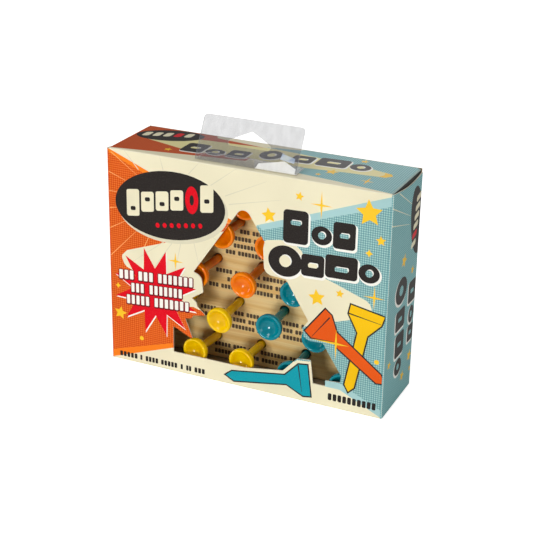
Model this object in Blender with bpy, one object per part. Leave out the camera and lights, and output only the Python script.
"""Triangle peg jump game, packed in its hang-tab window carton.

A wooden play board with fifteen holes stands on its base edge inside a paperboard carton.
Fourteen golf-tee pegs sit loosely in the holes and point forward to a die-cut window.
The carton is a sleeve with a tuck flap and two dust flaps at each end, and a folding clear
film tab on top.

Frame: X runs along the carton's width, Y from its front face to its back, Z up. The origin
is the centre of the carton's footprint, on the surface it stands on. Units are metres.
"""
import math

import bmesh
import bpy
from mathutils import Vector

MM = 0.001

# Carton
CARTON_WIDTH = 152 * MM
CARTON_DEPTH = 43 * MM
CARTON_HEIGHT = 117 * MM
CARD = 0.6 * MM                 # paperboard thickness
GAP = 0.3 * MM                  # room between pieces that touch on the real carton
GLUE_FLAP_HEIGHT = 13 * MM      # inner lap that closes the sleeve, down from the top edge
GLUE_FLAP_INSET = 14 * MM       # distance from each end, clear of the tuck tongues

# End closures, hinged on the front corner edges
TONGUE_LENGTH = 9.5 * MM
TONGUE_CLEARANCE = 0.6 * MM     # between a tongue and the back panel it slides behind
TONGUE_INSET = 4 * MM           # above the bottom and below the top of the end flap
TONGUE_CORNER = 8 * MM
FLAP_TOP_RELIEF = 1.3 * MM      # the end flap's top edge falls this much towards the back
FLAP_BOTTOM_RELIEF = 0.5 * MM
DUST_FLAP_LENGTH = 24 * MM
DUST_FLAP_FRONT_SLOPE = 1.1     # length gained per unit of depth along the front taper
DUST_FLAP_BACK_TAPER = 4 * MM
DUST_FLAP_CORNER = 2 * MM

# Play board
HOLE_ROWS = 5
HOLE_PITCH = 25.4 * MM
ROW_PITCH = HOLE_PITCH * math.sqrt(3) / 2
HOLE_RADIUS = 2.7 * MM
HOLE_DEPTH = 10.5 * MM
HOLE_CHAMFER = 0.1 * MM
BASE_ROW_HEIGHT = 14.0 * MM     # lowest row of holes above the table
BOARD_THICKNESS = 17.8 * MM
BOARD_CORNER = 12.9 * MM
BOARD_EDGE_BEVEL = 1.0 * MM
APEX_MARGIN = 12.4 * MM         # apex hole centre to the board's top

# Pegs: distances run along a peg's axis from its pivot, which is in the mouth of its hole
PEG_SAG = 0.25 * MM             # pivot below the hole's centre
TIP_DISTANCE = 5.4 * MM         # pivot to the tip, away from the head
HEAD_SETBACK = 1.8 * MM         # front of a head behind the carton's front face
HEAD_RADIUS = 6.9 * MM
RIM_WIDTH = 1.4 * MM
RIM_HEIGHT = 1.4 * MM
CUP_DEPTH = 3.8 * MM
HEAD_HEIGHT = 6.4 * MM
NECK_LENGTH = 0.6 * MM
RIM_ROUND = 0.4 * MM
STEM_RADIUS = 2.2 * MM
TIP_RADIUS = 0.9 * MM

# Hang tab
TAB_WIDTH = 53.6 * MM
TAB_HEIGHT = 23 * MM
TAB_FILM = 0.4 * MM
TAB_LEAN = math.radians(29.5)   # backwards from upright
TAB_OFFSET = -1.1 * MM          # centre of the tab from the carton's centre
TAB_FOLD_SETBACK = 2.8 * MM     # fold line behind the carton's front face
TAB_FOOT_LENGTH = 12 * MM
TAB_CORNER = 2 * MM
TAB_HOLE_APEX = 17.8 * MM       # above the fold
TAB_HOLE_BASE = 9.5 * MM
TAB_HOLE_HALF_WIDTH = 16.5 * MM
TAB_HOLE_CORNER = 1.6 * MM

# Each row of holes from the apex down, left to right: peg colour, droop of the head below
# level in degrees, and its swing to the right in degrees. None is the one empty hole.
PEG_ROWS = (
    (("orange", 15.5, -5.5),),
    (("orange", -1.1, -1.4), ("orange", 5.8, -1.8)),
    (("orange", 4.7, -5.4), ("orange", 6.4, -2.7), ("teal", 4.1, 2.0)),
    (("yellow", 4.0, -2.0), ("yellow", 6.9, -4.7), ("teal", 0.6, 2.0), ("teal", 4.7, 0.6)),
    (None, ("yellow", 1.5, -7.4), ("yellow", 2.1, -4.3), ("teal", 4.1, 0.5), ("teal", 5.4, 7.2)),
)

# Window outline on the front panel, clockwise from its apex: x from the panel's centre,
# z from the carton's base and the corner's radius, in millimetres. The straight sides
# make a triangle. Printed shapes reach over them, and the card is cut around those shapes.
WINDOW_OUTLINE_MM = (
    (0.1, 99.4, 3.9), (11.5, 82.0, 0.8),
    (10.8, 78.5, 1.5), (11.6, 65.2, 4.5), (23.3, 64.5, 0.6),
    (35.7, 44.7, 0.8), (32.6, 40.4, 0.8), (33.4, 35.8, 0.8), (36.6, 34.2, 1.0), (43.7, 34.5, 0.6),
    (53.9, 19.0, 0.5), (53.5, 15.0, 0.4), (45.6, 14.5, 0.4), (45.7, 11.3, 0.4),
    (39.1, 11.3, 0.4), (37.6, 23.9, 1.0), (30.3, 23.0, 0.8), (22.7, 14.7, 1.0), (2.0, 11.5, 3.0),
    (-39.1, 11.5, 0.5), (-39.1, 26.2, 0.5),
    (-27.8, 21.0, 0.5), (-32.2, 31.9, 0.4), (-28.6, 32.7, 0.4), (-27.4, 34.6, 0.5),
    (-20.6, 35.9, 0.4), (-25.2, 39.8, 1.5), (-25.9, 42.2, 1.0), (-28.6, 44.1, 0.5),
    (-21.9, 48.4, 1.0), (-23.0, 57.5, 4.5), (-27.5, 58.6, 0.4),
)

HALF_WIDTH = CARTON_WIDTH / 2
FRONT = -CARTON_DEPTH / 2
BACK = CARTON_DEPTH / 2
SLEEVE_END = HALF_WIDTH - CARD - GAP      # where the top, back and bottom panels stop
BOARD_BACK = BACK - 2 * CARD - GAP        # in front of the back panel and the glue flap
BOARD_FRONT = BOARD_BACK - BOARD_THICKNESS
BOARD_BASE = CARD + GAP
CENTRE_ROW = (HOLE_ROWS - 1) / 2
HEAD_DISTANCE = BOARD_FRONT - (FRONT + HEAD_SETBACK)
ARC_STEP = math.radians(15)
ROUND_SEGMENTS = 20

COLOURS = {
    "printed_card": ((0.83, 0.79, 0.63, 1.0), 0.45),
    "natural_wood": ((0.66, 0.45, 0.23, 1.0), 0.6),
    "clear_film": ((0.86, 0.89, 0.95, 1.0), 0.15),
    "orange": ((1.0, 0.26, 0.01, 1.0), 0.25),
    "yellow": ((0.87, 0.58, 0.0, 1.0), 0.25),
    "teal": ((0.0, 0.27, 0.35, 1.0), 0.25),
}


def clear_scene():
    """Remove every object that the file starts with."""
    for obj in list(bpy.data.objects):
        bpy.data.objects.remove(obj, do_unlink=True)


def material(name):
    """The Principled material of that name, made the first time it is asked for."""
    found = bpy.data.materials.get(name)
    if found:
        return found
    colour, roughness = COLOURS[name]
    made = bpy.data.materials.new(name)
    made.use_nodes = True
    shader = made.node_tree.nodes["Principled BSDF"]
    shader.inputs["Base Color"].default_value = colour
    shader.inputs["Roughness"].default_value = roughness
    shader.inputs["Metallic"].default_value = 0.0
    return made


def add_object(name, mesh, material_name, origin=(0.0, 0.0, 0.0)):
    """Link a mesh as an object, with a material, at its origin."""
    if material_name and not mesh.materials:
        mesh.materials.append(material(material_name))
    obj = bpy.data.objects.new(name, mesh)
    obj.location = origin
    bpy.context.scene.collection.objects.link(obj)
    return obj


def attach(child, parent):
    """Parent an object to another, both unrotated so far, without moving it."""
    child.parent = parent
    child.location = Vector(child.location) - world_location(parent)


def world_location(obj):
    """An object's place in the world, through parents that aren't rotated."""
    place = Vector(obj.location)
    while obj.parent:
        obj = obj.parent
        place += Vector(obj.location)
    return place


def rounded(corners):
    """An outline whose corners (a, b, radius) are turned into arcs of up to 15 degree steps."""
    outline = []
    count = len(corners)
    for i, (a, b, radius) in enumerate(corners):
        corner = Vector((a, b))
        before = (Vector(corners[i - 1][:2]) - corner).normalized()
        after = (Vector(corners[(i + 1) % count][:2]) - corner).normalized()
        opening = before.angle(after)
        if radius <= 0 or opening > math.radians(179):
            outline.append((a, b))
            continue
        centre = corner + (before + after).normalized() * radius / math.sin(opening / 2)
        tangent = radius / math.tan(opening / 2)
        start = corner + before * tangent - centre
        sweep = math.pi - opening
        if before.x * after.y - before.y * after.x > 0:
            sweep = -sweep
        steps = max(1, math.ceil(abs(sweep) / ARC_STEP))
        for k in range(steps + 1):
            turn = sweep * k / steps
            cosine, sine = math.cos(turn), math.sin(turn)
            outline.append((centre.x + start.x * cosine - start.y * sine,
                            centre.y + start.x * sine + start.y * cosine))
    return outline


def mesh_from(bm, name):
    """Finish a bmesh as a mesh with its faces pointing out."""
    bmesh.ops.recalc_face_normals(bm, faces=bm.faces)
    mesh = bpy.data.meshes.new(name)
    bm.to_mesh(mesh)
    bm.free()
    return mesh


def plate_mesh(name, outline, place, thickness, origin=(0.0, 0.0, 0.0)):
    """A flat plate: place(a, b) puts each outline point in space, thickness extrudes it."""
    bm = bmesh.new()
    shift = Vector(origin)
    face = bm.faces.new([bm.verts.new(Vector(place(a, b)) - shift) for a, b in outline])
    grown = bmesh.ops.extrude_face_region(bm, geom=[face])
    moved = [item for item in grown["geom"] if isinstance(item, bmesh.types.BMVert)]
    bmesh.ops.translate(bm, verts=moved, vec=Vector(thickness))
    return mesh_from(bm, name)


def box_mesh(name, low, high):
    """A closed box between two corners."""
    outline = ((low[0], low[1]), (high[0], low[1]), (high[0], high[1]), (low[0], high[1]))
    return plate_mesh(name, outline, lambda x, y: (x, y, low[2]), (0, 0, high[2] - low[2]))


def turned_mesh(name, profile, segments, places=(Vector((0, 0, 0)),), direction="z"):
    """Solids of revolution from (radius, distance) points, closed on the axis at both ends.

    One solid is made at each place. direction "z" runs distance along +Z, "-y" along -Y.
    """
    bm = bmesh.new()
    for place in places:
        def at(radius, distance, turn):
            across = radius * math.cos(turn)
            other = radius * math.sin(turn)
            if direction == "z":
                return place + Vector((across, other, distance))
            return place + Vector((across, -distance, other))

        first = bm.verts.new(at(0, profile[0][1], 0))
        last = bm.verts.new(at(0, profile[-1][1], 0))
        rings = []
        for radius, distance in profile[1:-1]:
            turns = [2 * math.pi * k / segments for k in range(segments)]
            rings.append([bm.verts.new(at(radius, distance, turn)) for turn in turns])
        for k in range(segments):
            n = (k + 1) % segments
            bm.faces.new((first, rings[0][n], rings[0][k]))
            for lower, upper in zip(rings, rings[1:]):
                bm.faces.new((lower[k], lower[n], upper[n], upper[k]))
            bm.faces.new((rings[-1][k], rings[-1][n], last))
    return mesh_from(bm, name)


def cutter(name, mesh):
    """A Boolean's second operand, left out of the model."""
    obj = add_object(name, mesh, None)
    obj.hide_render = True
    obj.display_type = "WIRE"
    return obj


def boolean(obj, other, operation="DIFFERENCE"):
    """Cut an object with another, or join the two."""
    modifier = obj.modifiers.new(other.name, "BOOLEAN")
    modifier.operation = operation
    modifier.solver = "EXACT"
    modifier.object = other


def smooth(mesh, angle=35):
    """Shade a mesh smooth, with edges sharper than the angle kept crisp."""
    mesh.shade_smooth()
    mesh.set_sharp_from_angle(angle=math.radians(angle))


def mirrored(outline, side):
    """An outline as it is for side 1, or with its first coordinate negated for side -1."""
    return [(side * a, b) for a, b in outline]


def build_sleeve(root):
    """Front, top, back and bottom panels in one folded sheet, with the window cut through."""
    body = add_object("carton_sleeve", box_mesh(
        "carton_sleeve", (-HALF_WIDTH, FRONT, 0), (HALF_WIDTH, BACK, CARTON_HEIGHT)), "printed_card")

    reach = 2 * HALF_WIDTH
    boolean(body, cutter("cut_sleeve_inside", box_mesh(
        "cut_sleeve_inside",
        (-reach, FRONT + CARD, CARD),
        (reach, BACK - CARD, CARTON_HEIGHT - CARD))))
    for side, word in ((1, "right"), (-1, "left")):
        xs = sorted((side * SLEEVE_END, side * reach))
        boolean(body, cutter(f"cut_{word}_end", box_mesh(
            f"cut_{word}_end",
            (xs[0], FRONT + CARD, -CARTON_HEIGHT),
            (xs[1], BACK + CARTON_DEPTH, 2 * CARTON_HEIGHT))))

    window = rounded([(x * MM, z * MM, radius * MM) for x, z, radius in WINDOW_OUTLINE_MM])
    boolean(body, cutter("cut_window", plate_mesh(
        "cut_window", window, lambda x, z: (x, FRONT - CARD, z), (0, 3 * CARD, 0))))

    lap_end = SLEEVE_END - GLUE_FLAP_INSET
    inner_face = BACK - CARD
    boolean(body, cutter("join_glue_flap", box_mesh(
        "join_glue_flap",
        (-lap_end, inner_face - CARD, CARTON_HEIGHT - CARD - GLUE_FLAP_HEIGHT),
        (lap_end, BACK - CARD / 2, CARTON_HEIGHT - CARD / 2))), "UNION")
    attach(body, root)


def build_end_closure(side, word, root):
    """One end's tuck flap, its tongue and the two dust flaps behind it."""
    outer = side * HALF_WIDTH
    hinge = Vector((outer, FRONT, CARTON_HEIGHT / 2))
    crease = BACK - CARD - TONGUE_CLEARANCE      # outer face of the tucked tongue

    low_front = FRONT + CARD + GAP
    outline = rounded((
        (low_front, GAP, 0),
        (crease, GAP + FLAP_BOTTOM_RELIEF, CARD),
        (crease, CARTON_HEIGHT - GAP - FLAP_TOP_RELIEF, CARD),
        (low_front, CARTON_HEIGHT - GAP, 0),
    ))
    flap = add_object(f"{word}_end_flap", plate_mesh(
        f"{word}_end_flap", outline, lambda y, z: (outer, y, z), (-side * CARD, 0, 0), hinge),
        "printed_card", hinge)

    root_x = SLEEVE_END
    tip_x = SLEEVE_END - TONGUE_LENGTH
    low = GAP + FLAP_BOTTOM_RELIEF + TONGUE_INSET
    high = CARTON_HEIGHT - GAP - FLAP_TOP_RELIEF - TONGUE_INSET
    tongue_hinge = Vector((outer - side * CARD, crease - CARD, CARTON_HEIGHT / 2))
    tongue_outline = mirrored(rounded((
        (root_x, low, 0), (tip_x, low, TONGUE_CORNER),
        (tip_x, high, TONGUE_CORNER), (root_x, high, 0))), side)
    tongue = add_object(f"{word}_tuck_tongue", plate_mesh(
        f"{word}_tuck_tongue", tongue_outline,
        lambda x, z: (x, crease, z), (0, -CARD, 0), tongue_hinge),
        "printed_card", tongue_hinge)

    attach(flap, root)
    attach(tongue, flap)
    for level, upright in (("upper", -1), ("lower", 1)):
        build_dust_flap(f"{word}_{level}_dust_flap", side, upright, crease, root)


def build_dust_flap(name, side, upright, crease, root):
    """A flap folded in from the top (upright -1) or bottom (upright 1) panel's end."""
    edge = CARTON_HEIGHT if upright < 0 else 0.0
    hinge = Vector((side * SLEEVE_END, 0, edge))
    start = CARD + GAP
    front = FRONT + CARD + 2 * GAP
    back = crease - CARD - 2 * GAP
    outline = rounded((
        (front, start, 0),
        (front + DUST_FLAP_LENGTH / DUST_FLAP_FRONT_SLOPE, start + DUST_FLAP_LENGTH, DUST_FLAP_CORNER),
        (back - DUST_FLAP_BACK_TAPER, start + DUST_FLAP_LENGTH, DUST_FLAP_CORNER),
        (back, start, 0),
    ))
    flap = add_object(name, plate_mesh(
        name, outline, lambda y, drop: (side * SLEEVE_END, y, edge + upright * drop),
        (-side * CARD, 0, 0), hinge), "printed_card", hinge)
    attach(flap, root)


def hole_places():
    """Row number, place in the row and centre (x, z) of each hole, from the apex down."""
    for row in range(HOLE_ROWS):
        z = BASE_ROW_HEIGHT + (HOLE_ROWS - 1 - row) * ROW_PITCH
        for column in range(row + 1):
            yield row, column, (column - row / 2) * HOLE_PITCH, z


def board_outline():
    """A triangle with rounded corners: three arcs joined by their common tangents."""
    apex_z = BASE_ROW_HEIGHT + (HOLE_ROWS - 1) * ROW_PITCH + APEX_MARGIN - BOARD_CORNER
    base_z = BOARD_BASE + BOARD_CORNER
    half_base = CENTRE_ROW * HOLE_PITCH
    slope = math.atan2(apex_z - base_z, half_base)
    centres = (
        (half_base, base_z, -math.pi / 2, math.pi / 2 - slope),
        (0.0, apex_z, math.pi / 2 - slope, math.pi / 2 + slope),
        (-half_base, base_z, math.pi / 2 + slope, 3 * math.pi / 2),
    )
    outline = []
    for x, z, first, last in centres:
        steps = math.ceil((last - first) / ARC_STEP)
        for k in range(steps + 1):
            turn = first + (last - first) * k / steps
            outline.append((x + BOARD_CORNER * math.cos(turn), z + BOARD_CORNER * math.sin(turn)))
    return outline


def build_board(root):
    """The wooden play board with its fifteen blind holes."""
    origin = Vector((0, BOARD_FRONT, BOARD_BASE))
    mesh = plate_mesh("play_board", board_outline(), lambda x, z: (x, BOARD_FRONT, z),
                      (0, BOARD_THICKNESS, 0), origin)
    board = add_object("play_board", mesh, "natural_wood", origin)
    bevel = board.modifiers.new("softened_edges", "BEVEL")
    bevel.width = BOARD_EDGE_BEVEL
    bevel.segments = 2
    bevel.limit_method = "ANGLE"
    bevel.angle_limit = math.radians(60)

    profile = (
        (0, -HOLE_DEPTH),
        (HOLE_RADIUS, -HOLE_DEPTH),
        (HOLE_RADIUS, -HOLE_CHAMFER),
        (HOLE_RADIUS + 2 * HOLE_CHAMFER, HOLE_CHAMFER),
        (0, HOLE_CHAMFER),
    )
    places = [Vector((x, BOARD_FRONT, z)) for _, _, x, z in hole_places()]
    boolean(board, cutter("cut_peg_holes", turned_mesh(
        "cut_peg_holes", profile, ROUND_SEGMENTS, places, "-y")))
    attach(board, root)
    return board


def peg_profile():
    """Half outline of a peg from its tip, round the outside of the head, into the cup."""
    neck = HEAD_DISTANCE - HEAD_HEIGHT
    flare = neck + NECK_LENGTH
    shoulder = HEAD_DISTANCE - RIM_HEIGHT
    profile = [
        (0, -TIP_DISTANCE),
        (TIP_RADIUS * 0.6, -TIP_DISTANCE),
        (TIP_RADIUS, -TIP_DISTANCE + TIP_RADIUS * 0.6),
        (STEM_RADIUS, 0),
        (STEM_RADIUS, neck),
    ]
    steps = 4
    for k in range(1, steps + 1):
        turn = math.pi / 2 * k / steps
        radius = STEM_RADIUS + (HEAD_RADIUS - STEM_RADIUS) * math.sin(turn)
        profile.append((radius, flare + (shoulder - flare) * (1 - math.cos(turn))))
    profile.append((HEAD_RADIUS, HEAD_DISTANCE - RIM_ROUND))
    profile.append((HEAD_RADIUS - RIM_ROUND, HEAD_DISTANCE))
    cup_radius = HEAD_RADIUS - RIM_WIDTH
    profile.append((cup_radius, HEAD_DISTANCE))
    for k in range(1, steps):
        turn = math.pi / 2 * k / steps
        profile.append((cup_radius * math.cos(turn), HEAD_DISTANCE - CUP_DEPTH * math.sin(turn)))
    profile.append((0, HEAD_DISTANCE - CUP_DEPTH))
    return profile


def build_pegs(board):
    """Fourteen pegs of three colours, each leaning in its own hole."""
    meshes = {}
    counts = {}
    for row, column, x, z in hole_places():
        peg = PEG_ROWS[row][column]
        if peg is None:
            continue
        colour, droop, swing = peg[0], math.radians(peg[1]), math.radians(peg[2])
        if colour not in meshes:
            meshes[colour] = turned_mesh(f"peg_{colour}", peg_profile(), ROUND_SEGMENTS)
            smooth(meshes[colour])
        counts[colour] = counts.get(colour, 0) + 1
        origin = Vector((x, BOARD_FRONT, z - PEG_SAG))
        obj = add_object(f"peg_{colour}_{counts[colour]}", meshes[colour], colour, origin)
        towards_head = Vector((
            math.sin(swing) * math.cos(droop),
            -math.cos(swing) * math.cos(droop),
            -math.sin(droop)))
        obj.rotation_euler = towards_head.to_track_quat("Z", "Y").to_euler()
        attach(obj, board)


def build_hang_tab(root):
    """A clear film tab: a foot stuck to the top panel, and the blade that folds up from it."""
    left = TAB_OFFSET - TAB_WIDTH / 2
    right = TAB_OFFSET + TAB_WIDTH / 2
    fold_y = FRONT + TAB_FOLD_SETBACK
    foot_z = CARTON_HEIGHT + GAP
    foot = add_object("hang_tab_foot", plate_mesh(
        "hang_tab_foot",
        rounded((
            (left, fold_y, 0), (right, fold_y, 0),
            (right, fold_y + TAB_FOOT_LENGTH, TAB_CORNER),
            (left, fold_y + TAB_FOOT_LENGTH, TAB_CORNER))),
        lambda x, y: (x, y, foot_z), (0, 0, TAB_FILM)), "clear_film")
    attach(foot, root)

    hinge = Vector((0, fold_y, foot_z + TAB_FILM + GAP))
    up = Vector((0, math.sin(TAB_LEAN), math.cos(TAB_LEAN)))
    through = Vector((0, math.cos(TAB_LEAN), -math.sin(TAB_LEAN))) * TAB_FILM
    start = hinge - through / 2

    def on_blade(x, height):
        return start + Vector((x, 0, 0)) + up * height

    blade = add_object("hang_tab", plate_mesh(
        "hang_tab",
        rounded((
            (left, 2 * GAP, 0), (right, 2 * GAP, 0),
            (right, TAB_HEIGHT, TAB_CORNER), (left, TAB_HEIGHT, TAB_CORNER))),
        on_blade, through, hinge), "clear_film", hinge)
    hole = rounded((
        (TAB_OFFSET, TAB_HOLE_APEX, 2 * TAB_HOLE_CORNER),
        (TAB_OFFSET + TAB_HOLE_HALF_WIDTH, TAB_HOLE_BASE, TAB_HOLE_CORNER),
        (TAB_OFFSET - TAB_HOLE_HALF_WIDTH, TAB_HOLE_BASE, TAB_HOLE_CORNER)))
    boolean(blade, cutter("cut_hanging_hole", plate_mesh(
        "cut_hanging_hole", hole, lambda x, height: on_blade(x, height) - through,
        through * 3)))
    attach(blade, root)


def build():
    clear_scene()
    root = bpy.data.objects.new("peg_game", None)
    bpy.context.scene.collection.objects.link(root)
    build_sleeve(root)
    build_end_closure(1, "right", root)
    build_end_closure(-1, "left", root)
    board = build_board(root)
    build_pegs(board)
    build_hang_tab(root)


build()
